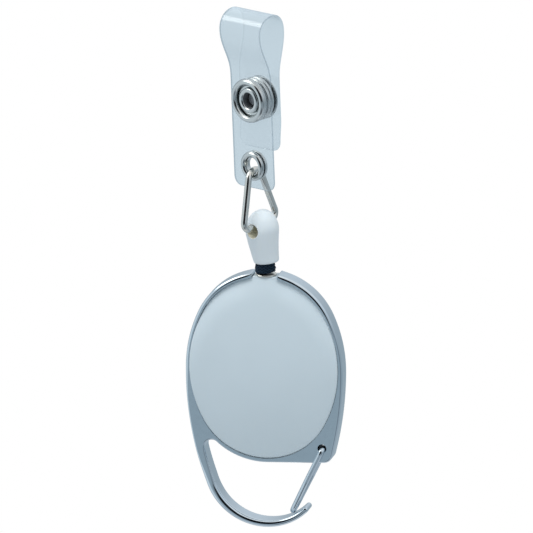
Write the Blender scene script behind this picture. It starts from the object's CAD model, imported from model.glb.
import math

import bmesh
import bpy
from mathutils import Matrix, Vector
from mathutils.geometry import tessellate_polygon


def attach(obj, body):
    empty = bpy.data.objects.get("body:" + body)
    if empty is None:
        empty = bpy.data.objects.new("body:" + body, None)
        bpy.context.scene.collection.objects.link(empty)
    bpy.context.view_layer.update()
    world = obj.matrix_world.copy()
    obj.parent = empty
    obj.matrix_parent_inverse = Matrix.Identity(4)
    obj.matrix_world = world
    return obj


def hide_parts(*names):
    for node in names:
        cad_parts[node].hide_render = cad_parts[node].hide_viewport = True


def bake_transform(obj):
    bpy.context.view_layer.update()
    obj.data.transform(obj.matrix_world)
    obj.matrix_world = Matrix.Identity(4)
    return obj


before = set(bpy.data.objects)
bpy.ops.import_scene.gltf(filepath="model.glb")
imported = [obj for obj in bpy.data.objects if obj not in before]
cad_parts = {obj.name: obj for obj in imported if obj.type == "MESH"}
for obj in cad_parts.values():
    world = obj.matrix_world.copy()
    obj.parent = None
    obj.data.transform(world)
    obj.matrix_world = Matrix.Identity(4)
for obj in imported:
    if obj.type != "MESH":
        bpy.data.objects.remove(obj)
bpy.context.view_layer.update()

MM = 0.001
PI = math.pi


# ---------------------------------------------------------------- mesh helpers

def rad(a):
    return a * PI / 180


def place_matrix(origin, lean, yaw):
    return (Matrix.Translation(Vector(origin)) @ Matrix.Rotation(rad(-lean), 4, "Y")
            @ Matrix.Rotation(rad(-yaw), 4, "Z"))


# the cord leaves at this depth; the chain's lean and turn, and the height of the link's top above its start
CORD_Y, CHAIN_Z = -3.7, 22.3
LEAN, APEX = 6.5, 24.85
SNAP_H = 15.8
CHAIN = place_matrix((0, CORD_Y, CHAIN_Z), LEAN, 22)
STRAP = place_matrix((-math.sin(rad(LEAN)) * APEX, CORD_Y, CHAIN_Z + math.cos(rad(LEAN)) * APEX + 1.05), 2.2, 31)
SNAP = STRAP @ Matrix.Translation((0, 0, SNAP_H))
UNIT = Matrix.Identity(4)


def make(name, verts, faces, body, mats, matrix=UNIT, sharp=35, face_mats=None, outward=True):
    """Mesh piece from points in millimetres, placed by matrix (millimetres too)."""
    me = bpy.data.meshes.new(name)
    me.from_pydata([tuple((matrix @ Vector(v)) * MM) for v in verts], [], faces)
    me.validate()
    if outward:
        bm = bmesh.new()
        bm.from_mesh(me)
        bmesh.ops.recalc_face_normals(bm, faces=bm.faces)
        if bm.calc_volume(signed=True) < 0:
            bmesh.ops.reverse_faces(bm, faces=bm.faces)
        bm.to_mesh(me)
        bm.free()
    me.update()
    me.shade_smooth()
    if sharp:
        me.set_sharp_from_angle(angle=rad(sharp))
    for m in mats if isinstance(mats, list) else [mats]:
        me.materials.append(m)
    if face_mats:
        for p, k in zip(me.polygons, face_mats):
            p.material_index = k
    o = bpy.data.objects.new(name, me)
    bpy.context.scene.collection.objects.link(o)
    if body:
        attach(o, body)
    return o


def stand_for(piece, node):
    """The piece is drawn in place of the CAD node, and carries its slot."""
    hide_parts(node)


def smooth(t):
    """Eases from 0 to 1."""
    t = max(0, min(1, t))
    return t * t * (3 - 2 * t)


def lathe_z(profile, seg=96):
    """Surface turned about z from (radius, z) points; radius 0 closes an end."""
    verts, rows = [], []
    for r, z in profile:
        if r < 1e-6:
            rows.append([len(verts)])
            verts.append((0, 0, z))
        else:
            rows.append(list(range(len(verts), len(verts) + seg)))
            verts += [(r * math.cos(2 * PI * k / seg), r * math.sin(2 * PI * k / seg), z) for k in range(seg)]
    faces = []
    for a, b in zip(rows, rows[1:]):
        for k in range(seg):
            j = (k + 1) % seg
            if len(a) == 1:
                faces.append((a[0], b[k], b[j]))
            elif len(b) == 1:
                faces.append((a[k], b[0], a[j]))
            else:
                faces.append((a[k], b[k], b[j], a[j]))
    return verts, faces


def facing_front(shape):
    """Turns a shape made about z to stand about -y, so that its heights become depths."""
    verts, faces = shape
    return [(x, -z, y) for x, y, z in verts], faces


def ring_z(profile, seg=96):
    """Ring turned about z from a closed (radius, z) profile."""
    verts = [(r * math.cos(2 * PI * k / seg), r * math.sin(2 * PI * k / seg), z)
             for r, z in profile for k in range(seg)]
    faces = []
    for i in range(len(profile)):
        a, b = i * seg, ((i + 1) % len(profile)) * seg
        for k in range(seg):
            j = (k + 1) % seg
            faces.append((a + k, a + j, b + j, b + k))
    return verts, faces


def round_profile(points, r, steps=4):
    """Rounds the corners of a closed polyline by up to r."""
    out = []
    for i, p in enumerate(points):
        a, b = Vector(points[i - 1]), Vector(points[(i + 1) % len(points)])
        p = Vector(p)
        u, w = a - p, b - p
        d = min(r, 0.45 * u.length, 0.45 * w.length)
        if u.angle(w) > rad(175) or d < 1e-4:
            out.append(tuple(p))
            continue
        u.normalize()
        w.normalize()
        for k in range(steps + 1):
            t = k / steps
            q = (p + u * d) * (1 - t) ** 2 + 2 * t * (1 - t) * p + (p + w * d) * t * t
            out.append(tuple(q))
    return out


def smooth_curve(points, n):
    """Catmull-Rom curve through the points."""
    pts = [Vector(p) for p in points]
    out = []
    for i in range(len(pts) - 1):
        p0, p1, p2 = pts[max(i - 1, 0)], pts[i], pts[i + 1]
        p3 = pts[min(i + 2, len(pts) - 1)]
        for k in range(n):
            t = k / n
            out.append(tuple(0.5 * (2 * p1 + (p2 - p0) * t + (2 * p0 - 5 * p1 + 4 * p2 - p3) * t * t
                                    + (3 * p1 - p0 - 3 * p2 + p3) * t ** 3)))
    out.append(tuple(pts[-1]))
    return out


def arc(cx, cz, r, a0, a1, n):
    """n steps along an arc between two angles in degrees."""
    return [(cx + r * math.cos(rad(a0 + (a1 - a0) * i / n)), cz + r * math.sin(rad(a0 + (a1 - a0) * i / n)))
            for i in range(n + 1)]


def resample(points, step):
    """Points at even steps along a polyline."""
    pts = [Vector(p) for p in points]
    lengths = [0]
    for a, b in zip(pts, pts[1:]):
        lengths.append(lengths[-1] + (b - a).length)
    n = max(2, round(lengths[-1] / step))
    out, i = [], 0
    for k in range(n + 1):
        s = lengths[-1] * k / n
        while i < len(pts) - 2 and lengths[i + 1] < s:
            i += 1
        f = (s - lengths[i]) / max(1e-9, lengths[i + 1] - lengths[i])
        out.append(pts[i].lerp(pts[i + 1], min(1, f)))
    return out


def tube(path, r, seg=24, cap=0.5):
    """Round wire along a 3-D path; its ends bulge by cap times its radius."""
    pts = [Vector(p) for p in path]
    n = len(pts)
    tangents = [(pts[min(i + 1, n - 1)] - pts[max(i - 1, 0)]).normalized() for i in range(n)]
    side = tangents[0].orthogonal().normalized()
    frames = []
    for c, t in zip(pts, tangents):
        side = (side - t * side.dot(t)).normalized()
        frames.append((c, side.copy(), t.cross(side)))

    def ring(centre, u, v, radius):
        return [centre + (u * math.cos(2 * PI * j / seg) + v * math.sin(2 * PI * j / seg)) * radius
                for j in range(seg)]

    def end_ring(at, way, k):
        a = k / 4 * PI / 2
        c, u, v = frames[at]
        return ring(c + tangents[at] * way * r * cap * math.sin(a), u, v, r * max(0.02, math.cos(a)))

    rings = [end_ring(0, -1, k) for k in range(4, 0, -1)]
    rings += [ring(c, u, v, r) for c, u, v in frames]
    rings += [end_ring(-1, 1, k) for k in range(1, 5)]
    verts = [v for row in rings for v in row]
    faces = []
    last = (len(rings) - 1) * seg
    for a in range(0, last, seg):
        for j in range(seg):
            k = (j + 1) % seg
            faces.append((a + j, a + k, a + seg + k, a + seg + j))
    faces.append(tuple(range(seg - 1, -1, -1)))
    faces.append(tuple(last + j for j in range(seg)))
    return verts, faces


def cut(piece, cutter):
    """Boolean difference, applied; the cutter is removed."""
    m = piece.modifiers.new("cut", "BOOLEAN")
    m.operation = "DIFFERENCE"
    m.solver = "EXACT"
    m.object = cutter
    bpy.context.view_layer.update()
    deps = bpy.context.evaluated_depsgraph_get()
    me = bpy.data.meshes.new_from_object(piece.evaluated_get(deps))
    piece.modifiers.clear()
    piece.data = me
    bpy.data.objects.remove(cutter)
    me.shade_smooth()
    me.set_sharp_from_angle(angle=rad(50))


# ---------------------------------------------------------------- materials

def nodes_of(name):
    """New node material, its tree and its main shader."""
    m = bpy.data.materials.new(name)
    m.use_nodes = True
    nt = m.node_tree
    return m, nt, nt.nodes["Principled BSDF"]


def link(nt, a, out, b, inp):
    nt.links.new(a.outputs[out], b.inputs[inp])


def noise(nt, scale, detail=3, rough=0.5):
    tc = nt.nodes.new("ShaderNodeTexCoord")
    n = nt.nodes.new("ShaderNodeTexNoise")
    n.inputs["Scale"].default_value = scale
    n.inputs["Detail"].default_value = detail
    n.inputs["Roughness"].default_value = rough
    link(nt, tc, "Object", n, "Vector")
    return n


def ramp(nt, source, out, stops):
    r = nt.nodes.new("ShaderNodeValToRGB")
    e = r.color_ramp.elements
    while len(e) < len(stops):
        e.new(0.5)
    for x, (pos, col) in zip(e, stops):
        x.position = pos
        x.color = (*col, 1)
    link(nt, source, out, r, "Fac")
    return r


def bump(nt, source, out, strength, distance, bsdf):
    b = nt.nodes.new("ShaderNodeBump")
    b.inputs["Strength"].default_value = strength
    b.inputs["Distance"].default_value = distance
    link(nt, source, out, b, "Height")
    link(nt, b, "Normal", bsdf, "Normal")


def metal(name, color, rough, wave=0.0, smudge=0.05, worn=None):
    """Plated metal: a slightly wavy skin, faint smudges in the gloss."""
    m, nt, p = nodes_of(name)
    p.inputs["Metallic"].default_value = 1
    a = ramp(nt, noise(nt, 900, 4, 0.6), "Fac", [(0.3, color), (0.7, worn or tuple(c * 0.94 for c in color))])
    link(nt, a, "Color", p, "Base Color")
    mr = nt.nodes.new("ShaderNodeMapRange")
    mr.inputs["From Min"].default_value = 0.3
    mr.inputs["From Max"].default_value = 0.75
    mr.inputs["To Min"].default_value = rough
    mr.inputs["To Max"].default_value = rough + smudge
    link(nt, noise(nt, 315, 5, 0.6), "Fac", mr, "Value")
    link(nt, mr, "Result", p, "Roughness")
    if wave:
        bump(nt, noise(nt, 260, 2, 0.4), "Fac", wave, 0.0002, p)
    return m


def plastic(name, color, rough, grain, sub=0.15, spec=0.5):
    """Moulded plastic with a fine satin grain and a slight glow under the skin."""
    m, nt, p = nodes_of(name)
    a = ramp(nt, noise(nt, 55), "Fac", [(0.35, color), (0.65, tuple(min(1, c * 1.03) for c in color))])
    link(nt, a, "Color", p, "Base Color")
    p.inputs["Roughness"].default_value = rough
    p.inputs["Specular IOR Level"].default_value = spec
    if sub:
        p.inputs["Subsurface Weight"].default_value = sub
        p.inputs["Subsurface Radius"].default_value = (1, 0.9, 0.8)
        p.inputs["Subsurface Scale"].default_value = 0.0008
    bump(nt, noise(nt, 2600, 2), "Fac", grain, 0.00004, p)
    return m


def braid(name, color, light, scale):
    """Braided nylon: crossing strands from two slanted waves."""
    m, nt, p = nodes_of(name)
    p.inputs["Roughness"].default_value = 0.7
    p.inputs["Specular IOR Level"].default_value = 0.22
    p.inputs["Specular Tint"].default_value = (0.5, 0.75, 1.0, 1)
    tc = nt.nodes.new("ShaderNodeTexCoord")
    waves = []
    for side in (-1, 1):
        mp = nt.nodes.new("ShaderNodeMapping")
        mp.inputs["Rotation"].default_value = (0, side * rad(38), 0)
        link(nt, tc, "Object", mp, "Vector")
        w = nt.nodes.new("ShaderNodeTexWave")
        w.bands_direction = "Z"
        w.inputs["Scale"].default_value = scale
        w.inputs["Distortion"].default_value = 0.6
        w.inputs["Detail"].default_value = 2
        w.inputs["Detail Scale"].default_value = 2
        link(nt, mp, "Vector", w, "Vector")
        waves.append(w)
    mx = nt.nodes.new("ShaderNodeMath")
    mx.operation = "MAXIMUM"
    link(nt, waves[0], "Fac", mx, 0)
    link(nt, waves[1], "Fac", mx, 1)
    a = ramp(nt, mx, "Value", [(0.35, color), (1, light)])
    link(nt, a, "Color", p, "Base Color")
    bump(nt, mx, "Value", 0.7, 0.00012, p)
    return m


CHROME = metal("chrome_frame", (0.60, 0.68, 0.74), 0.045, wave=0.03, smudge=0.03)
HOLE = metal("unplated_hole", (0.05, 0.055, 0.06), 0.5)
GATE = metal("chrome_wire", (0.60, 0.68, 0.74), 0.12, smudge=0.04)
NICKEL = metal("nickel", (0.55, 0.585, 0.59), 0.17, wave=0.04, smudge=0.05)
NICKEL_DULL = metal("nickel_dull", (0.34, 0.36, 0.38), 0.6, smudge=0.05)
NICKEL_WARM = metal("nickel_warm", (0.62, 0.64, 0.64), 0.12, wave=0.05, smudge=0.06,
                    worn=(0.60, 0.59, 0.54))
RING = metal("turned_ring", (0.76, 0.745, 0.69), 0.24, smudge=0.08)
SPRING_STEEL = metal("spring_steel", (0.30, 0.34, 0.40), 0.28, smudge=0.1, worn=(0.36, 0.33, 0.30))
WIRE_DARK = metal("spring_wire", (0.42, 0.42, 0.43), 0.22, smudge=0.1)
WHITE = plastic("white_cover", (0.60, 0.69, 0.735), 0.5, grain=0.04, spec=0.22)
CORD_END = plastic("cord_end_plastic", (0.69, 0.755, 0.785), 0.5, grain=0.06, sub=0.3, spec=0.3)
BORE = plastic("cord_end_bore", (0.84, 0.81, 0.66), 0.6, grain=0.1, sub=0)
ACETAL = plastic("acetal", (0.06, 0.062, 0.068), 0.45, grain=0.2, sub=0)
BRAID = braid("braided_cord", (0.001, 0.004, 0.010), (0.014, 0.030, 0.052), 620)


def vinyl(name, clear, tint, haze_low, haze_high, gloss):
    """Clear soft vinyl: almost see-through, with a faint haze that thickens at a slant and a soft gloss."""
    m = bpy.data.materials.new(name)
    m.use_nodes = True
    nt = m.node_tree
    nt.nodes.clear()
    out = nt.nodes.new("ShaderNodeOutputMaterial")
    geo = nt.nodes.new("ShaderNodeNewGeometry")
    dot = nt.nodes.new("ShaderNodeVectorMath")
    dot.operation = "DOT_PRODUCT"
    link(nt, geo, "Incoming", dot, 0)
    link(nt, geo, "Normal", dot, 1)

    def math_node(op, a, b=None):
        n = nt.nodes.new("ShaderNodeMath")
        n.operation = op
        for k, v in enumerate((a,) if b is None else (a, b)):
            if isinstance(v, (int, float)):
                n.inputs[k].default_value = v
            else:
                nt.links.new(v, n.inputs[k])
        return n.outputs[0]

    facing = math_node("SUBTRACT", 1, math_node("ABSOLUTE", dot.outputs["Value"]))
    slant = math_node("POWER", facing, 3)
    haze_mix = math_node("ADD", haze_low, math_node("MULTIPLY", slant, haze_high - haze_low))
    fresnel = math_node("ADD", 0.035, math_node("MULTIPLY", math_node("POWER", facing, 5), 0.7))
    tr = nt.nodes.new("ShaderNodeBsdfTransparent")
    tr.inputs["Color"].default_value = (*clear, 1)
    haze = nt.nodes.new("ShaderNodeBsdfDiffuse")
    haze.inputs["Color"].default_value = (*tint, 1)
    mix = nt.nodes.new("ShaderNodeMixShader")
    nt.links.new(haze_mix, mix.inputs["Fac"])
    link(nt, tr, "BSDF", mix, 1)
    link(nt, haze, "BSDF", mix, 2)
    gl = nt.nodes.new("ShaderNodeBsdfGlossy")
    gl.inputs["Roughness"].default_value = gloss
    gl.inputs["Color"].default_value = (0.96, 0.98, 1, 1)
    bump(nt, noise(nt, 120), "Fac", 0.05, 0.0003, gl)
    top = nt.nodes.new("ShaderNodeMixShader")
    nt.links.new(fresnel, top.inputs["Fac"])
    link(nt, mix, "Shader", top, 1)
    link(nt, gl, "BSDF", top, 2)
    link(nt, top, "Shader", out, "Surface")
    return m


VINYL = vinyl("clear_vinyl", (0.985, 0.988, 0.99), (0.60, 0.70, 0.76), 0.02, 0.7, 0.12)
VINYL_EDGE = vinyl("vinyl_cut_edge", (0.86, 0.89, 0.91), (0.40, 0.48, 0.53), 0.35, 0.9, 0.3)
VINYL_EDGE_SOFT = vinyl("vinyl_rear_edge", (0.97, 0.98, 0.985), (0.52, 0.61, 0.66), 0.06, 0.5, 0.3)
NICKELS = [NICKEL, NICKEL_DULL]
VINYLS = [VINYL, VINYL_EDGE, VINYL_EDGE_SOFT]


# ---------------------------------------------------------------- carabiner frame

# half-width of the frame and where it is widest, radius of its top end, and its top
FRAME_R, MID_Z, END_R, TOP = 18.7, -0.9, 17.25, 22.85
# hook: outer radius, centre, thickness at its root and at its nose, and the nose's angle
HOOK_R, HOOK_Z, HOOK_T, NOSE_T, NOSE_A = 14.5, -24.2, 2.1, 1.35, -44.8
# half-width, half-height and end radius of the covers' oval
OVAL_R, OVAL_H, OVAL_END = 17.7, 21.85, 16.3
# depths of the frame's faces
FRONT, BACK = 6.2, 1.2
# widths of the bevel along the outer sides, round the covers, and below them; beside the left web, and on the hook
RIM_BEVEL, OVAL_BEVEL, EDGE_BEVEL = 0.72, 0.12, 0.34
WEB_BEVEL, HOOK_BEVEL = 0.4, 1.02


def side_r(w, r, dz):
    """Radius of a side arc of half-width w that runs smoothly into an end arc of radius r, dz away."""
    return (dz * dz + w * w - r * r) / (2 * (w - r))


def oval_points(inset, n_side=40, n_end=56):
    """Outline of the covers' oval, counter-clockwise from the right."""
    dz = OVAL_H - OVAL_END
    big = side_r(OVAL_R, OVAL_END, dz)
    turn = math.degrees(math.atan2(dz, big - OVAL_R))
    q = arc(OVAL_R - big, 0, big - inset, 0, turn, n_side)[:-1] + arc(0, dz, OVAL_END - inset, turn, 90, n_end)
    pts = q + [(-x, z) for x, z in reversed(q[:-1])]
    return pts + [(x, -z) for x, z in reversed(pts[1:-1])]


def frame_contour():
    """Closed outline with the metal on its left, and the bevel's width at each point."""
    up = side_r(FRAME_R, END_R, TOP - END_R - MID_Z)
    low = side_r(FRAME_R, HOOK_R, MID_Z - HOOK_Z)
    up_turn = math.degrees(math.atan2(TOP - END_R - MID_Z, up - FRAME_R))
    low_turn = math.degrees(math.atan2(MID_Z - HOOK_Z, low - FRAME_R))
    out = []

    def add(points, width):
        out.extend((x, z, width) for x, z in points)

    # the prongs end beside the neck with a small radius outside and inside
    prong, out_c, in_c = 3.0, 0.42, 0.22
    oc = TOP - END_R + math.sqrt((END_R - out_c) ** 2 - (prong + out_c) ** 2)
    oa = math.degrees(math.atan2(oc - TOP + END_R, prong + out_c))
    ic = OVAL_H - OVAL_END + math.sqrt((OVAL_END + in_c) ** 2 - (prong + in_c) ** 2)
    ia = math.degrees(math.atan2(ic - OVAL_H + OVAL_END, prong + in_c))
    # left prong, down the left side, round the hook
    add(arc(-prong - out_c, oc, out_c, 0, 180 - oa, 10), 0.24)
    add(arc(0, TOP - END_R, END_R, 180 - oa, 180 - up_turn, 40)[1:], RIM_BEVEL)
    add(arc(up - FRAME_R, MID_Z, up, 180 - up_turn, 180, 24)[1:], RIM_BEVEL)
    left_low = arc(low - FRAME_R, MID_Z, low, 180, 180 + low_turn, 60)
    for i, (x, z) in enumerate(left_low[1:], 1):
        narrow, widen = smooth(i / 16), smooth((i - 42) / 18)
        add([(x, z)], RIM_BEVEL + (WEB_BEVEL - RIM_BEVEL) * narrow + (HOOK_BEVEL - WEB_BEVEL) * widen)
    hook_start = -180 + low_turn

    def bar(a):
        """Thickness of the hook's bar at an angle."""
        return HOOK_T + (NOSE_T - HOOK_T) * max(0, min(1, (a + 150) / 92))

    for i in range(1, 121):
        a = hook_start + (NOSE_A - hook_start) * i / 120
        add([(HOOK_R * math.cos(rad(a)), HOOK_Z + HOOK_R * math.sin(rad(a)))], 0.49 * bar(a))
    # nose
    nm = HOOK_R - NOSE_T / 2
    nx, nz = nm * math.cos(rad(NOSE_A)), HOOK_Z + nm * math.sin(rad(NOSE_A))
    add(arc(nx, nz, NOSE_T / 2, NOSE_A, NOSE_A + 180, 20)[1:], 0.5)
    # inside of the hook
    for i in range(1, 121):
        a = NOSE_A + (hook_start - NOSE_A) * i / 120
        r = HOOK_R - bar(a)
        add([(r * math.cos(rad(a)), HOOK_Z + r * math.sin(rad(a)))], 0.49 * bar(a))
    # fillet between the hook's inside and the rim below the covers
    fr, rim_r, cz = 1.8, OVAL_END + 1.0, OVAL_END - OVAL_H
    ri = low - HOOK_T
    ox = low - FRAME_R
    fx, fz = -13.0, -18.9
    for _ in range(60):
        d1 = math.hypot(fx, fz - cz) - (rim_r + fr)
        d2 = math.hypot(fx - ox, fz - MID_Z) - (ri - fr)
        u1 = (fx / (rim_r + fr), (fz - cz) / (rim_r + fr))
        u2 = ((fx - ox) / ri, (fz - MID_Z) / ri)
        fx -= 0.5 * (d1 * u1[0] + d2 * u2[0])
        fz -= 0.5 * (d1 * u1[1] + d2 * u2[1])
    start = math.degrees(math.atan2(fz - MID_Z, fx - ox)) % 360
    a_rim = math.degrees(math.atan2(fz - cz, fx))
    add(arc(ox, MID_Z, ri, 180 + low_turn, start, 24)[1:], 0.8)
    add(arc(fx, fz, fr, start, a_rim + 180, 40)[1:], 0.5)
    add(arc(0, cz, rim_r, a_rim, -88, 60)[1:], EDGE_BEVEL)
    # web to the lower right corner
    corner_r, corner_z = 2.05, -20.1
    reach = math.sqrt((low - corner_r) ** 2 - (MID_Z - corner_z) ** 2)
    corner_x = FRAME_R - low + reach
    turn = math.degrees(math.atan2(MID_Z - corner_z, reach))
    x0, z0, _ = out[-1]
    x1, z1 = corner_x, corner_z - corner_r
    add([(x0 + (x1 - x0) * k / 20, z0 + (z1 - z0) * k / 20) for k in range(1, 21)], EDGE_BEVEL)
    add(arc(corner_x, corner_z, corner_r, -90, -turn, 26)[1:], 0.5)
    add(arc(FRAME_R - low, MID_Z, low, -turn, 0, 60)[1:], RIM_BEVEL)
    add(arc(FRAME_R - up, MID_Z, up, 0, up_turn, 24)[1:], RIM_BEVEL)
    add(arc(0, TOP - END_R, END_R, up_turn, oa, 40)[1:], RIM_BEVEL)
    # right prong's end, then clockwise round the oval to the left prong
    add(arc(prong + out_c, oc, out_c, oa, 180, 10)[1:], 0.24)
    add(arc(prong + in_c, ic, in_c, 180, 180 + ia, 8), OVAL_BEVEL)
    edge_x = (prong + in_c) * OVAL_END / (OVAL_END + in_c)
    ring = [p for p in oval_points(0) if p[1] < 0 or abs(p[0]) > edge_x + 0.05]
    ring.sort(key=lambda p: (90 - math.degrees(math.atan2(p[1], p[0]))) % 360)
    add(ring, OVAL_BEVEL)
    add(arc(-prong - in_c, ic, in_c, -ia, 0, 8), OVAL_BEVEL)
    # points nearly on top of the one before are left out
    clean = []
    for p in out:
        if not clean or math.dist(p[:2], clean[-1][:2]) > 0.03:
            clean.append(p)
    if math.dist(clean[0][:2], clean[-1][:2]) < 0.03:
        clean.pop()
    return clean


def frame_mesh():
    """Points, faces, the shading normal of each point, and the material of each face."""
    pts = frame_contour()
    n = len(pts)
    # the bevel's width changes smoothly along the outline
    w = [p[2] for p in pts]
    for _ in range(12):
        w = [0.25 * w[i - 1] + 0.5 * w[i] + 0.25 * w[(i + 1) % n] for i in range(n)]
    inward = []
    for i in range(n):
        a, b = pts[i - 1], pts[(i + 1) % n]
        d = math.dist(a[:2], b[:2])
        inward.append((-(b[1] - a[1]) / d, (b[0] - a[0]) / d))
    verts, normals, faces = [], [], []

    def bevel_row(f, face, way):
        for p, nn, ww in zip(pts, inward, w):
            deep = min(ww, 0.85)
            depth = face + way * deep * (1 - math.cos(f))
            inset = ww * (1 - math.sin(f))
            verts.append((p[0] + nn[0] * inset, -depth, p[1] + nn[1] * inset))
            out = deep * math.sin(f)
            normals.append(Vector((-nn[0] * out, ww * math.cos(f) * way, -nn[1] * out)).normalized())

    steps = 9
    for k in range(steps + 1):
        bevel_row(rad(90 * k / steps), FRONT, -1)
    for k in range(steps, -1, -1):
        bevel_row(rad(90 * k / steps), BACK, 1)
    last = (2 * steps + 1) * n
    for a in range(0, last, n):
        for j in range(n):
            k = (j + 1) % n
            faces.append((a + k, a + j, a + n + j, a + n + k))
    # the gate's hole through both faces: depth, radius, and the normal's forward and outward parts
    hx, hz, hr, seg = 13.9, -18.65, 1.0, 48
    hole = [(FRONT, hr + 0.14, -0.95, -0.3), (FRONT - 0.05, hr + 0.05, -0.7, -0.7), (FRONT - 0.18, hr, 0, -1),
            (BACK + 0.18, hr, 0, -1), (BACK + 0.05, hr + 0.05, 0.7, -0.7), (BACK, hr + 0.14, 0.95, -0.3)]
    first = len(verts)
    for depth, r, ahead, out in hole:
        for k in range(seg):
            c, q = math.cos(2 * PI * k / seg), math.sin(2 * PI * k / seg)
            verts.append((hx + r * c, -depth, hz + r * q))
            normals.append(Vector((out * c, ahead, out * q)).normalized())
    kinds = [0] * len(faces)
    for i in range(len(hole) - 1):
        a = first + i * seg
        for k in range(seg):
            j = (k + 1) % seg
            faces.append((a + seg + k, a + k, a + j, a + seg + j))
        kinds += [1 if i == 2 else 0] * seg
    # flat faces, each with its own points
    for row, ring, way in ((0, first, -1), (last, first + (len(hole) - 1) * seg, 1)):
        index = len(verts)
        outline = [verts[row:row + n], verts[ring:ring + seg]]
        verts.extend(outline[0] + outline[1])
        normals.extend([Vector((0, way, 0))] * (n + seg))
        for t in tessellate_polygon([[Vector((x, z, 0)) for x, _, z in loop] for loop in outline]):
            a, b, c = (index + i for i in t)
            va, vb, vc = (Vector(verts[i]) for i in (a, b, c))
            faces.append((c, b, a) if (vb - va).cross(vc - va).y * way < 0 else (a, b, c))
    return verts, faces, normals, kinds + [0] * (len(faces) - len(kinds))


verts, faces, normals, kinds = frame_mesh()
shell = make("carabiner_shell", verts, faces, "root", [CHROME, HOLE], sharp=0, face_mats=kinds, outward=False)
shell.data.normals_split_custom_set_from_vertices([tuple(v) for v in normals])
stand_for(shell, "carabiner_frame")


# ---------------------------------------------------------------- gate

GATE_R = 0.65


def gate_path():
    """Hairpin: its two ends turn into the frame's hole, its legs close in at the knees, and a loop joins them."""
    length, loop_r, spread, bend, straight, knee_r = 18.2, 1.9, 3.25, 1.0, 8.5, 4.0
    loop = (0, length - loop_r - GATE_R)
    knee = (spread - knee_r, straight)
    dx, dy = loop[0] - knee[0], loop[1] - knee[1]
    turn = math.degrees(math.atan2(dy, dx)) - math.degrees(math.acos((knee_r - loop_r) / math.hypot(dx, dy)))
    half = [(spread - bend - 1.3, 0), (spread - bend, 0)]
    half += arc(spread - bend, bend, bend, -90, 0, 12)[1:]
    half += arc(knee[0], knee[1], knee_r, 0, turn, 12)
    half += arc(loop[0], loop[1], loop_r, turn, 90, 20)
    path = half + [(-a, b) for a, b in reversed(half[:-1])]
    m = (Matrix.Translation((14.1, CORD_Y, -18.85)) @ Matrix.Rotation(rad(180 + 25.4), 4, "Y")
         @ Matrix.Rotation(rad(-90), 4, "Z"))
    return [m @ Vector((a, 0, b)) for a, b in path]


verts, faces = tube(resample(gate_path(), 0.35), GATE_R, 28, cap=0.4)
stand_for(make("wire_gate", verts, faces, "gate", GATE, sharp=60), "gate_wire")


# ---------------------------------------------------------------- covers

DOME_R, DOME_TOP = 110, 8.4
# gap between the covers and the frame's rim, and the rounding of the covers' front edge
SKIRT, COVER_EDGE = 0.03, 0.3


def dome(x, z):
    return math.sqrt(DOME_R ** 2 - x * x - z * z) - DOME_R + DOME_TOP


def rings_mesh(rows):
    """Closed skin over rows of equal length; each end closes in a fan about its centre."""
    n = len(rows[0])
    verts = [v for r in rows for v in r]
    faces = []
    for a in range(0, (len(rows) - 1) * n, n):
        for j in range(n):
            k = (j + 1) % n
            faces.append((a + j, a + n + j, a + n + k, a + k))
    for row in (0, len(rows) - 1):
        verts.append(tuple(sum((Vector(v) for v in rows[row]), Vector((0, 0, 0))) / n))
        m = len(verts) - 1
        for j in range(n):
            k = (j + 1) % n
            faces.append((m, row * n + k, row * n + j) if row else (m, j, k))
    return verts, faces


def cover_depth(x, z, inset):
    """Front of the cover: a shallow dome that falls away towards its edge, most at the top."""
    up = smooth((z + 1) / 20)
    low = smooth((-z - 8) / 12)
    wide = 3.4 + 2.4 * up - 1.2 * low
    fall = 0.22 + 1.0 * up - 0.2 * low
    neck = smooth((abs(x) - 1.5) / 3.5) if z > 0 else 1
    fall *= neck + (1 - neck) * 0.45
    d = dome(x, z)
    if inset < wide:
        d -= fall * (1 - inset / wide) ** 2.3
    if inset < COVER_EDGE:
        d -= COVER_EDGE * (0.35 + 0.65 * neck) * (1 - math.sqrt(max(0, 1 - (1 - inset / COVER_EDGE) ** 2)))
    return d


def front_cover_rows():
    """From the middle of the dome out to the edge, down the wall, and back to the middle inside."""
    rows = []
    rim = 8.0
    base = oval_points(rim)
    for i in range(1, 19):
        f = math.sin(rad(90 * i / 18))
        rows.append([(x * f, -dome(x * f, z * f), z * f) for x, z in base])
    insets = [rim * (1 - k / 26) for k in range(1, 25)]
    insets += [COVER_EDGE * (1 - math.sin(rad(10 * k))) for k in range(10)]
    for inset in insets:
        rows.append([(x, -cover_depth(x, z, inset), z) for x, z in oval_points(SKIRT + inset)])
    for depth in (5.0, 4.36):
        rows.append([(x, -depth, z) for x, z in oval_points(SKIRT)])
    for inset, depth in ((1.1, 4.36), (1.1, 4.7)):
        rows.append([(x, -depth, z) for x, z in oval_points(inset)])
    for i in range(8, 0, -1):
        f = i / 8
        rows.append([(x * f, -min(dome(x * f, z * f) - 1.5, 4.7 + 3 * (1 - f)), z * f)
                     for x, z in oval_points(1.25)])
    return rows


verts, faces = rings_mesh(front_cover_rows())
stand_for(make("front_cover_shell", verts, faces, "root", WHITE, sharp=50), "front_cover")


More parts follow.
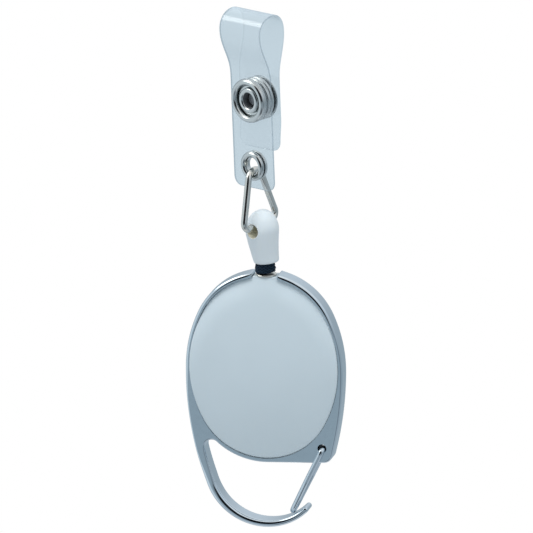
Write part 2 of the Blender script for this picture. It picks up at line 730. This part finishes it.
def rear_cover_rows():
    """From the middle of the flat back out to the rounded edge, up the lip, and back to the middle inside."""
    rows = []
    base = oval_points(1.3)
    for i in range(1, 13):
        f = i / 12
        rows.append([(x * f, 0.0, z * f) for x, z in base])
    for k in range(1, 9):
        a = rad(90 * k / 8)
        rows.append([(x, -1.2 * (1 - math.cos(a)), z) for x, z in oval_points(0.1 + 1.2 * (1 - math.sin(a)))])
    for inset, depth in ((0.1, 2.2), (0.1, 3.04), (1.1, 3.04), (1.1, 1.7)):
        rows.append([(x, -depth, z) for x, z in oval_points(inset)])
    for i in range(8, 0, -1):
        rows.append([(x * i / 8, -1.2, z * i / 8) for x, z in oval_points(1.6)])
    return rows


verts, faces = rings_mesh(rear_cover_rows())
stand_for(make("rear_cover_shell", verts, faces, "root", WHITE, sharp=50), "rear_cover")


def neck_piece(name, front):
    """Half of the neck between the prongs; the front one runs on from the dome."""
    half_w, low_z, high_z = 2.86, 19.4, 21.84
    cz, half_h = (low_z + high_z) / 2, (high_z - low_z) / 2
    pts = round_profile([(-half_w, low_z), (half_w, low_z), (half_w, high_z), (-half_w, high_z)], 0.35, 5)
    inner, way = (3.72, 1) if front else (3.68, -1)

    def outer(x, z):
        return cover_depth(x, z, 0.45) - 0.03 if front else 1.05

    rows = []
    for k in range(10):
        f = (k + 1) / 10 * 0.88
        rows.append([(x * f, -outer(x * f, cz + (z - cz) * f), cz + (z - cz) * f) for x, z in pts])
    for k in range(7):
        a = rad(90 * k / 6)
        inset = COVER_EDGE * (1 - math.sin(a))
        rows.append([(x * (1 - inset / half_w), -(outer(x, z) - way * COVER_EDGE * (1 - math.cos(a))),
                      cz + (z - cz) * (1 - inset / half_h)) for x, z in pts])
    rows.append([(x, -inner, z) for x, z in pts])
    verts, faces = rings_mesh(rows)
    make(name, verts, faces, "root", WHITE, sharp=50)


neck_piece("front_neck", True)
neck_piece("rear_neck", False)

verts, faces = ring_z(round_profile([(0.65, 0), (0.65, 0.45), (2.5, 0.45), (2.5, 0)], 0.16))
exit_washer = make("exit_washer", verts, faces, "root", RING, Matrix.Translation((0, CORD_Y, OVAL_H)), sharp=50)
stand_for(exit_washer, "exit_ring")


# ---------------------------------------------------------------- cord and its end

def twisted_barrel(profile, strands, turns, depth, seg=160, rows=60):
    """Barrel of twisted cord: ridges that climb round it."""
    z0, z1 = profile[0][1], profile[-1][1]
    grid = []
    for i in range(rows + 1):
        z = z0 + (z1 - z0) * i / rows
        for (ra, za), (rb, zb) in zip(profile, profile[1:]):
            if za <= z <= zb + 1e-9:
                base = ra + (rb - ra) * (z - za) / (zb - za)
                break
        row = []
        for k in range(seg):
            a = 2 * PI * k / seg
            phase = (strands * (a / (2 * PI) - turns * (z - z0) / (z1 - z0))) % 1
            ridge = math.sqrt(max(0, 1 - (2 * phase - 1) ** 2))
            fine = 0.03 * math.sin(34 * a + 10 * PI * z) * ridge
            r = base - depth + depth * ridge + fine
            row.append((r * math.cos(a), r * math.sin(a), z))
        grid.append(row)
    return grid


knot_profile = [(1.9, 0.26), (2.32, 0.42), (2.46, 0.9), (2.42, 1.5), (2.3, 2.1), (2.1, 2.55)]
verts, faces = rings_mesh(twisted_barrel(knot_profile, 5, -0.55, 0.26))
stand_for(make("cord_stop_knot", verts, faces, "cord", BRAID, CHAIN, sharp=0), "cord_stop")

# cord between the drum and the knot: the part above the covers stretches as it is pulled
verts, faces = tube([(0, CORD_Y, 17.9 + 0.05 * k) for k in range(91)], 0.4, 20, cap=0.3)
run = make("pulled_cord", verts, faces, None, BRAID, sharp=0)
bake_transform(run)

# cord end: its foot is FOOT above the chain's start, and the link's wire crosses it EYE above that start
FOOT, EYE = 2.7, 11.75
LINK_R, BORE_R = 0.775, 1.55
fit_profile = smooth_curve([(0, 0), (1.6, 0), (2.5, 0.03), (2.85, 0.2), (3.0, 0.6), (3.06, 1.1), (3.23, 2.45),
                            (3.58, 5.0), (3.86, 7.0), (3.94, 8.0), (3.84, 8.9), (3.6, 9.7), (3.2, 10.6),
                            (2.6, 11.42), (1.85, 12.1), (1.0, 12.52), (0, 12.65)], 5)
verts, faces = lathe_z(fit_profile, 128)


def lozenge_shift(z):
    """Sideways bow of the cord end: its foot and its top stand to one side of its middle."""
    t = (z - 7.4) / 7.4
    return 0.42 * t * t if z < 7.4 else 0.16 * ((z - 7.4) / 4.5) ** 2


# besides its bow, the cord end leans slightly less than the chain
shift_dir = CHAIN.to_3x3().inverted() @ Vector((1, 0, 0))
verts = [Vector((x, y, z + FOOT)) + shift_dir * (lozenge_shift(z) + 0.0262 * (z + FOOT)) for x, y, z in verts]
fitting = make("cord_end_lozenge", verts, faces, None, [CORD_END, BORE], CHAIN, sharp=0)
# cross hole, flared at both ends; the profile's two points on the axis stay sharp
bore_profile = [(0, -6), (2.6, -6), (2.4, -4.6), (1.72, -3.75), (1.6, -3.3), (BORE_R, 0), (1.6, 3.3), (1.72, 3.75),
                (2.4, 4.6), (2.6, 6), (0, 6)]
bore_profile = [(0, -6)] + round_profile(bore_profile, 0.3)[5:-5] + [(0, 6)]
bore_verts, bore_faces = lathe_z(bore_profile, 64)
bore_z = EYE - BORE_R + LINK_R
cut(fitting, make("cutter", [(x, z, y + bore_z) for x, y, z in bore_verts], bore_faces, None, [CORD_END, BORE],
                  CHAIN, sharp=0, face_mats=[1] * len(bore_faces)))
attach(fitting, "cord_end")
stand_for(fitting, "cord_end_fitting")


# ---------------------------------------------------------------- link

def link_path():
    """Triangle with a rounded top corner and two tighter ones, open inside the cross hole."""
    high, wide, top_r, low_r = 13.1, 12.4, 2.9, 1.6
    a = (0, high - top_r)
    b = (wide / 2 - low_r, low_r)
    dx, dy = b[0] - a[0], b[1] - a[1]
    turn = math.degrees(math.atan2(dy, dx)) + math.degrees(math.acos((top_r - low_r) / math.hypot(dx, dy)))
    half = [(0.3, 0), (b[0], 0)]
    half += arc(b[0], b[1], low_r, -90, turn, 16)[1:]
    half += arc(a[0], a[1], top_r, turn, 90, 20)
    path = half + [(-x, z) for x, z in reversed(half[:-1])]
    m = CHAIN @ Matrix.Translation((0, 0, EYE)) @ Matrix.Rotation(rad(-90), 4, "Z")
    return [m @ Vector((x, 0, z)) for x, z in path]


verts, faces = tube(resample(link_path(), 0.3), LINK_R, 28, cap=0.3)
stand_for(make("triangle_link", verts, faces, "link", NICKEL_WARM, sharp=60), "wire_link")


# ---------------------------------------------------------------- eyelet and snap

def ring_piece(name, profile, matrix, body, mat, node, bore=0):
    """Ring turned about -y from (radius, depth) points; faces within bore of its axis take the second material."""
    seg = 112
    verts, faces = facing_front(ring_z(profile, seg))
    inside = [1 if max(a[0], b[0]) < bore else 0 for a, b in zip(profile, profile[1:] + profile[:1])]
    kinds = [k for k in inside for _ in range(seg)]
    stand_for(make(name, verts, faces, body, mat, matrix, sharp=45, face_mats=kinds), node)


eye_profile = round_profile(
    [(3.46, 0.235), (3.52, 0.6), (3.34, 1.02), (2.95, 1.26), (2.56, 1.24), (2.22, 0.95), (2.06, 0.5), (2.01, 0.0),
     (2.01, -0.72), (2.23, -0.72), (2.25, 0.235)], 0.12, 3)
ring_piece("eyelet_front", eye_profile, STRAP, "strap", NICKEL, "strap_eyelet")
back_profile = round_profile(
    [(2.28, -0.235), (3.46, -0.235), (3.52, -0.6), (3.34, -1.02), (2.95, -1.26), (2.56, -1.24), (2.28, -0.95)],
    0.12, 3)
ring_piece("eyelet_rear", back_profile, STRAP, "strap", NICKEL, "eyelet_washer")

front_ring = round_profile(
    [(5.22, 0.24), (5.29, 0.9), (5.15, 1.45), (4.8, 1.83), (4.4, 1.92), (4.02, 1.78), (3.75, 1.4), (3.62, 0.95),
     (3.55, 0.5), (2.08, 0.47), (2.08, 0.24)], 0.14, 3)
ring_piece("snap_rolled_ring", front_ring, SNAP, "strap", NICKEL, "snap_front_ring")

post = round_profile(
    [(1.75, -0.72), (1.75, 0.75), (1.84, 1.1), (2.1, 1.36), (2.6, 1.4), (2.96, 1.2), (3.02, 0.95), (2.86, 0.72),
     (2.3, 0.6), (2.0, 0.5), (2.0, -0.72)], 0.12, 3)
ring_piece("snap_flared_post", post, SNAP, "strap", NICKELS, "snap_post", bore=1.86)

socket = round_profile(
    [(2.08, -0.235), (4.75, -0.235), (5.1, -0.5), (5.15, -1.08), (4.82, -1.35), (5.16, -1.62), (5.12, -2.2),
     (4.85, -2.5), (3.0, -2.5), (3.0, -2.25), (3.13, -2.2), (3.13, -1.8), (3.0, -1.75), (3.0, -0.5),
     (2.08, -0.48)], 0.1, 3)
ring_piece("snap_socket_ring", socket, SNAP, "strap", NICKEL, "snap_socket")

spring_ring = [(2.9 + 0.2 * math.cos(rad(a)), -2.02 + 0.2 * math.sin(rad(a))) for a in range(0, 360, 20)]
ring_piece("snap_spring_ring", spring_ring, SNAP, "strap", WIRE_DARK, "socket_spring")

stud = round_profile(
    [(1.62, -2.6), (2.72, -2.6), (2.74, -2.5), (2.46, -2.4), (2.45, -1.76), (2.68, -1.5), (2.68, -1.2),
     (2.4, -0.96), (1.62, -0.96)], 0.08, 3)
ring_piece("snap_stud_ring", stud, SNAP, "flap", NICKEL, "snap_stud")

back = -3.075
cap = [(0, back - 1.0), (1.6, back - 0.98), (3.2, back - 0.88), (4.3, back - 0.7), (4.9, back - 0.52),
       (5.15, back - 0.33), (5.16, back - 0.14), (4.95, back - 0.02), (1.52, back), (1.5, back + 0.1),
       (1.5, back + 2.5), (1.4, back + 2.6), (0, back + 2.6)]
CAP_SEG = 96
verts, faces = facing_front(lathe_z(cap, CAP_SEG))
# the stem, from the profile's tenth step on, is dull
kinds = [1 if k >= 9 * CAP_SEG else 0 for k in range(len(faces))]
stand_for(make("snap_rear_cap", verts, faces, "flap", NICKELS, SNAP, sharp=40, face_mats=kinds), "snap_cap")


# ---------------------------------------------------------------- strap

# thickness, height where the leaves part, top of the fold, and the share of that rise where the loop is widest
STRAP_T, LEAF_TOP, FOLD_H, WIDE = 0.45, 21.3, 36.9, 0.72
# half the distance between the middles of the leaves
HALF_GAP = 1.425
STRAP_W, STRAP_CORNER = 6.4, 2.2


def loop_half(s, bulge):
    """Half-depth of the loop above the leaves, at a share s of its height."""
    if s < WIDE:
        return HALF_GAP + bulge * (1 - math.cos(PI * s / WIDE)) / 2
    q = (s - WIDE) / (1 - WIDE)
    return (bulge + HALF_GAP) * max(0, 1 - q ** 2.4) ** 0.5


def strap_line():
    """Middle line of the strap from the side, as (depth, height), from the front leaf's foot to the rear one's."""
    rise = FOLD_H - LEAF_TOP - STRAP_T / 2
    shares = [math.sin(rad(90 * i / 120)) for i in range(121)]
    front = [(-HALF_GAP + loop_half(q, 3.1), LEAF_TOP + rise * q) for q in shares]
    rear = [(-HALF_GAP - loop_half(q, 2.1), LEAF_TOP + rise * q) for q in reversed(shares)]
    foot = [(-2 * HALF_GAP + 0.6 * (1 - (1 - k / 10) ** 2), 10.4 - 0.66 * k) for k in range(11)]
    return [(0, -5.4)] + front + rear[1:] + foot


def strap_mesh():
    line = resample(strap_line(), 0.42)
    for _ in range(6):
        inner = [0.25 * a + 0.5 * b + 0.25 * c for a, b, c in zip(line, line[1:], line[2:])]
        line = [line[0]] + inner + [line[-1]]
    total = [0]
    for a, b in zip(line, line[1:]):
        total.append(total[-1] + (b - a).length)
    # the rows are closer together at both rounded ends
    ends = [STRAP_CORNER * (1 - math.cos(rad(90 * k / 10))) for k in range(11)]
    even = [STRAP_CORNER + 0.45 * k for k in range(1, int((total[-1] - 2 * STRAP_CORNER) / 0.45))]
    places = sorted({round(x, 4) for x in ends + even + [total[-1] - e for e in ends]})
    across, h = 18, STRAP_T / 2
    verts, faces, kinds = [], [], []
    ring_n = 2 * (across + 1) + 4
    i = 0
    for s in places:
        while i < len(line) - 2 and total[i + 1] < s:
            i += 1
        p = line[i].lerp(line[i + 1], (s - total[i]) / (total[i + 1] - total[i]))
        t = (line[min(len(line) - 1, i + 2)] - line[max(0, i - 1)]).normalized()
        n = Vector((t.y, -t.x)) * h
        short = max(0, STRAP_CORNER - min(s, total[-1] - s))
        w = STRAP_W - STRAP_CORNER + math.sqrt(max(0, STRAP_CORNER ** 2 - short ** 2))
        flat = w - 0.06
        xs = [-flat + 2 * flat * k / across for k in range(across + 1)]
        row = [(x, p + n) for x in xs] + [(w, p + n * 0.6), (w, p - n * 0.6)]
        row += [(x, p - n) for x in reversed(xs)] + [(-w, p - n * 0.6), (-w, p + n * 0.6)]
        verts += [(x, -q.x, q.y) for x, q in row]
    for r, s in enumerate(places[:-1]):
        a = r * ring_n
        for k in range(ring_n):
            j = (k + 1) % ring_n
            faces.append((a + k, a + j, a + ring_n + j, a + ring_n + k))
            on_edge = across <= k < across + 3 or k >= ring_n - 3
            kinds.append((2 if s > 0.56 * total[-1] else 1) if on_edge else 0)
    for a in (0, (len(places) - 1) * ring_n):
        faces += [(a + k, a + k + 1, a + ring_n - 4 - k, a + ring_n - 3 - k) for k in range(across)]
        faces += [(a + across, a + across + 1, a + across + 2, a + across + 3),
                  (a + ring_n - 3, a + ring_n - 2, a + ring_n - 1, a)]
    return verts, faces, kinds + [1] * (len(faces) - len(kinds))


verts, faces, kinds = strap_mesh()
strap = make("clear_strap", verts, faces, None, VINYLS, STRAP, sharp=0, face_mats=kinds)
# holes for the eyelet, the snap's front half and the snap's rear half: height, radius and depths
for height, r, d0, d1 in ((0, 2.28, -1, 1), (SNAP_H, 2.06, -1, 1), (SNAP_H, 1.58, -4, -2)):
    hole_verts, hole_faces = facing_front(lathe_z([(0, d0), (r, d0), (r, d1), (0, d1)], 64))
    cut(strap, make("cutter", [(x, y, z + height) for x, y, z in hole_verts], hole_faces, None, VINYLS, STRAP,
                    sharp=0, face_mats=[1] * len(hole_faces)))


# the fold bends from the front leaf's body to the rear leaf's
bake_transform(strap)
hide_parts("strap_front", "strap_fold", "strap_rear")


# ---------------------------------------------------------------- carried-over CAD nodes

for node, mat in (("spool", ACETAL), ("power_spring", SPRING_STEEL), ("cord_windings", BRAID), ("cord_run", BRAID),
                  ("cord_knot", BRAID)):
    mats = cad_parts[node].data.materials
    mats.clear()
    mats.append(mat)


# ---------------------------------------------------------------- stage

# direction (x, y, z), inner and outer half-angle, colour
CARDS = [
    ((-0.95, -0.25, -0.15), 28, 48, (0.80, 0.88, 0.93)),
    ((0, 0, -1), 20, 40, (0.75, 0.80, 0.84)),
    ((-0.22, -0.05, 1.0), 14, 30, (1.25, 1.25, 1.25)),
    ((0.75, -0.6, -0.25), 10, 28, (0.24, 0.29, 0.33)),
    ((0.1, -0.75, -0.75), 8, 22, (0.12, 0.14, 0.16)),
    ((0.27, -0.92, 0.28), 17, 25, (0.012, 0.013, 0.015)),
    ((-0.16, -0.95, 0.21), 21, 28, (0.008, 0.010, 0.013)),
    ((-0.16, -0.80, 0.57), 20, 27, (0.008, 0.010, 0.013)),
    ((-0.72, -0.08, 0.68), 12, 19, (5.0, 5.0, 4.8)),
]


def studio_world():
    """Plain white seen directly, a soft fill for dull surfaces, and soft cards that only mirroring surfaces see."""
    world = bpy.data.worlds.new("studio")
    bpy.context.scene.world = world
    world.use_nodes = True
    nt = world.node_tree
    nt.nodes.clear()
    out = nt.nodes.new("ShaderNodeOutputWorld")
    tc = nt.nodes.new("ShaderNodeTexCoord")
    sep = nt.nodes.new("ShaderNodeSeparateXYZ")
    link(nt, tc, "Generated", sep, "Vector")
    up = nt.nodes.new("ShaderNodeMapRange")
    up.inputs["From Min"].default_value = -1
    up.inputs["From Max"].default_value = 1
    link(nt, sep, "Z", up, "Value")
    base = ramp(nt, up, "Result", [
        (0.0, (0.62, 0.68, 0.74)), (0.2, (0.50, 0.56, 0.62)), (0.36, (0.38, 0.46, 0.515)),
        (0.47, (0.42, 0.49, 0.54)), (0.56, (0.52, 0.58, 0.63)), (0.72, (0.78, 0.84, 0.90)),
        (0.9, (1.0, 1.0, 1.0)), (1.0, (1.0, 1.0, 1.0))])
    color = base.outputs["Color"]

    def card(direction, inner, outer, value):
        """Round soft-edged patch: inner and outer are its half-angles."""
        nonlocal color
        dot = nt.nodes.new("ShaderNodeVectorMath")
        dot.operation = "DOT_PRODUCT"
        link(nt, tc, "Generated", dot, 0)
        dot.inputs[1].default_value = Vector(direction).normalized()
        mr = nt.nodes.new("ShaderNodeMapRange")
        mr.interpolation_type = "SMOOTHSTEP"
        mr.inputs["From Min"].default_value = math.cos(rad(outer))
        mr.inputs["From Max"].default_value = math.cos(rad(inner))
        link(nt, dot, "Value", mr, "Value")
        mx = nt.nodes.new("ShaderNodeMix")
        mx.data_type = "RGBA"
        link(nt, mr, "Result", mx, "Factor")
        nt.links.new(color, mx.inputs["A"])
        mx.inputs["B"].default_value = (*value, 1)
        color = mx.outputs["Result"]

    for c in CARDS:
        card(*c)
    bg = nt.nodes.new("ShaderNodeBackground")
    nt.links.new(color, bg.inputs["Color"])
    plain = nt.nodes.new("ShaderNodeBackground")
    plain.inputs["Color"].default_value = (1, 1, 1, 1)
    soft = nt.nodes.new("ShaderNodeBackground")
    fill = ramp(nt, up, "Result", [(0.0, (0.50, 0.545, 0.59)), (0.5, (0.52, 0.565, 0.60)), (0.78, (0.92, 0.96, 1.0)),
                                   (1.0, (1.3, 1.3, 1.32))])
    link(nt, fill, "Color", soft, "Color")
    lp = nt.nodes.new("ShaderNodeLightPath")
    mirrored = nt.nodes.new("ShaderNodeMixShader")
    link(nt, lp, "Is Glossy Ray", mirrored, "Fac")
    link(nt, soft, "Background", mirrored, 1)
    link(nt, bg, "Background", mirrored, 2)
    mix = nt.nodes.new("ShaderNodeMixShader")
    link(nt, lp, "Is Camera Ray", mix, "Fac")
    link(nt, mirrored, "Shader", mix, 1)
    link(nt, plain, "Background", mix, 2)
    link(nt, mix, "Shader", out, "Surface")


studio_world()

# floor: a plain pale sheet well below the object, greyer where it is seen through the clear strap
floor_mesh = bpy.data.meshes.new("floor")
floor_mesh.from_pydata([(-12, -12, -0.35), (12, -12, -0.35), (12, 12, -0.35), (-12, 12, -0.35)], [], [(0, 1, 2, 3)])
floor = bpy.data.objects.new("floor", floor_mesh)
bpy.context.scene.collection.objects.link(floor)
fm = bpy.data.materials.new("pale_floor")
fm.use_nodes = True
nt = fm.node_tree
nt.nodes.clear()
out = nt.nodes.new("ShaderNodeOutputMaterial")
em = nt.nodes.new("ShaderNodeEmission")
lp = nt.nodes.new("ShaderNodeLightPath")
gt = nt.nodes.new("ShaderNodeMath")
gt.operation = "GREATER_THAN"
gt.inputs[1].default_value = 0.5
link(nt, lp, "Transparent Depth", gt, 0)
mx = nt.nodes.new("ShaderNodeMix")
mx.data_type = "RGBA"
mx.inputs["A"].default_value = (1, 1, 1, 1)
mx.inputs["B"].default_value = (0.545, 0.655, 0.725, 1)
link(nt, gt, "Value", mx, "Factor")
nt.links.new(mx.outputs["Result"], em.inputs["Color"])
link(nt, em, "Emission", out, "Surface")
floor_mesh.materials.append(fm)
floor.visible_glossy = False
floor.visible_diffuse = False
floor.visible_shadow = False

# one large soft lamp from the upper left
lamp = bpy.data.lights.new("top_light", "AREA")
lamp.shape = "DISK"
lamp.size = 0.5
lamp.energy = 2.4
top_light = bpy.data.objects.new("top_light", lamp)
top_light.location = (-0.13, -0.25, 0.75)
top_light.rotation_euler = (Vector((0, 0, 0.02)) - top_light.location).to_track_quat("-Z", "Y").to_euler()
top_light.visible_glossy = False
bpy.context.scene.collection.objects.link(top_light)

# camera: the photo's angle, from far off, with the photo's width at the object
target = Vector((0.00012, -0.0037, 0.02387))
az, el, dist = rad(13), rad(16), 5.0
VIEW_W = 0.12381
cam = bpy.data.cameras.new("camera")
cam.sensor_width = 36
cam.lens = cam.sensor_width * dist / VIEW_W
cam.clip_end = 50
camera = bpy.data.objects.new("camera", cam)
direction = Vector((math.sin(az) * math.cos(el), -math.cos(az) * math.cos(el), math.sin(el)))
camera.location = target + direction * dist
camera.rotation_euler = (-direction).to_track_quat("-Z", "Y").to_euler()
bpy.context.scene.collection.objects.link(camera)
bpy.context.scene.camera = camera
bpy.context.scene.view_settings.view_transform = "Standard"
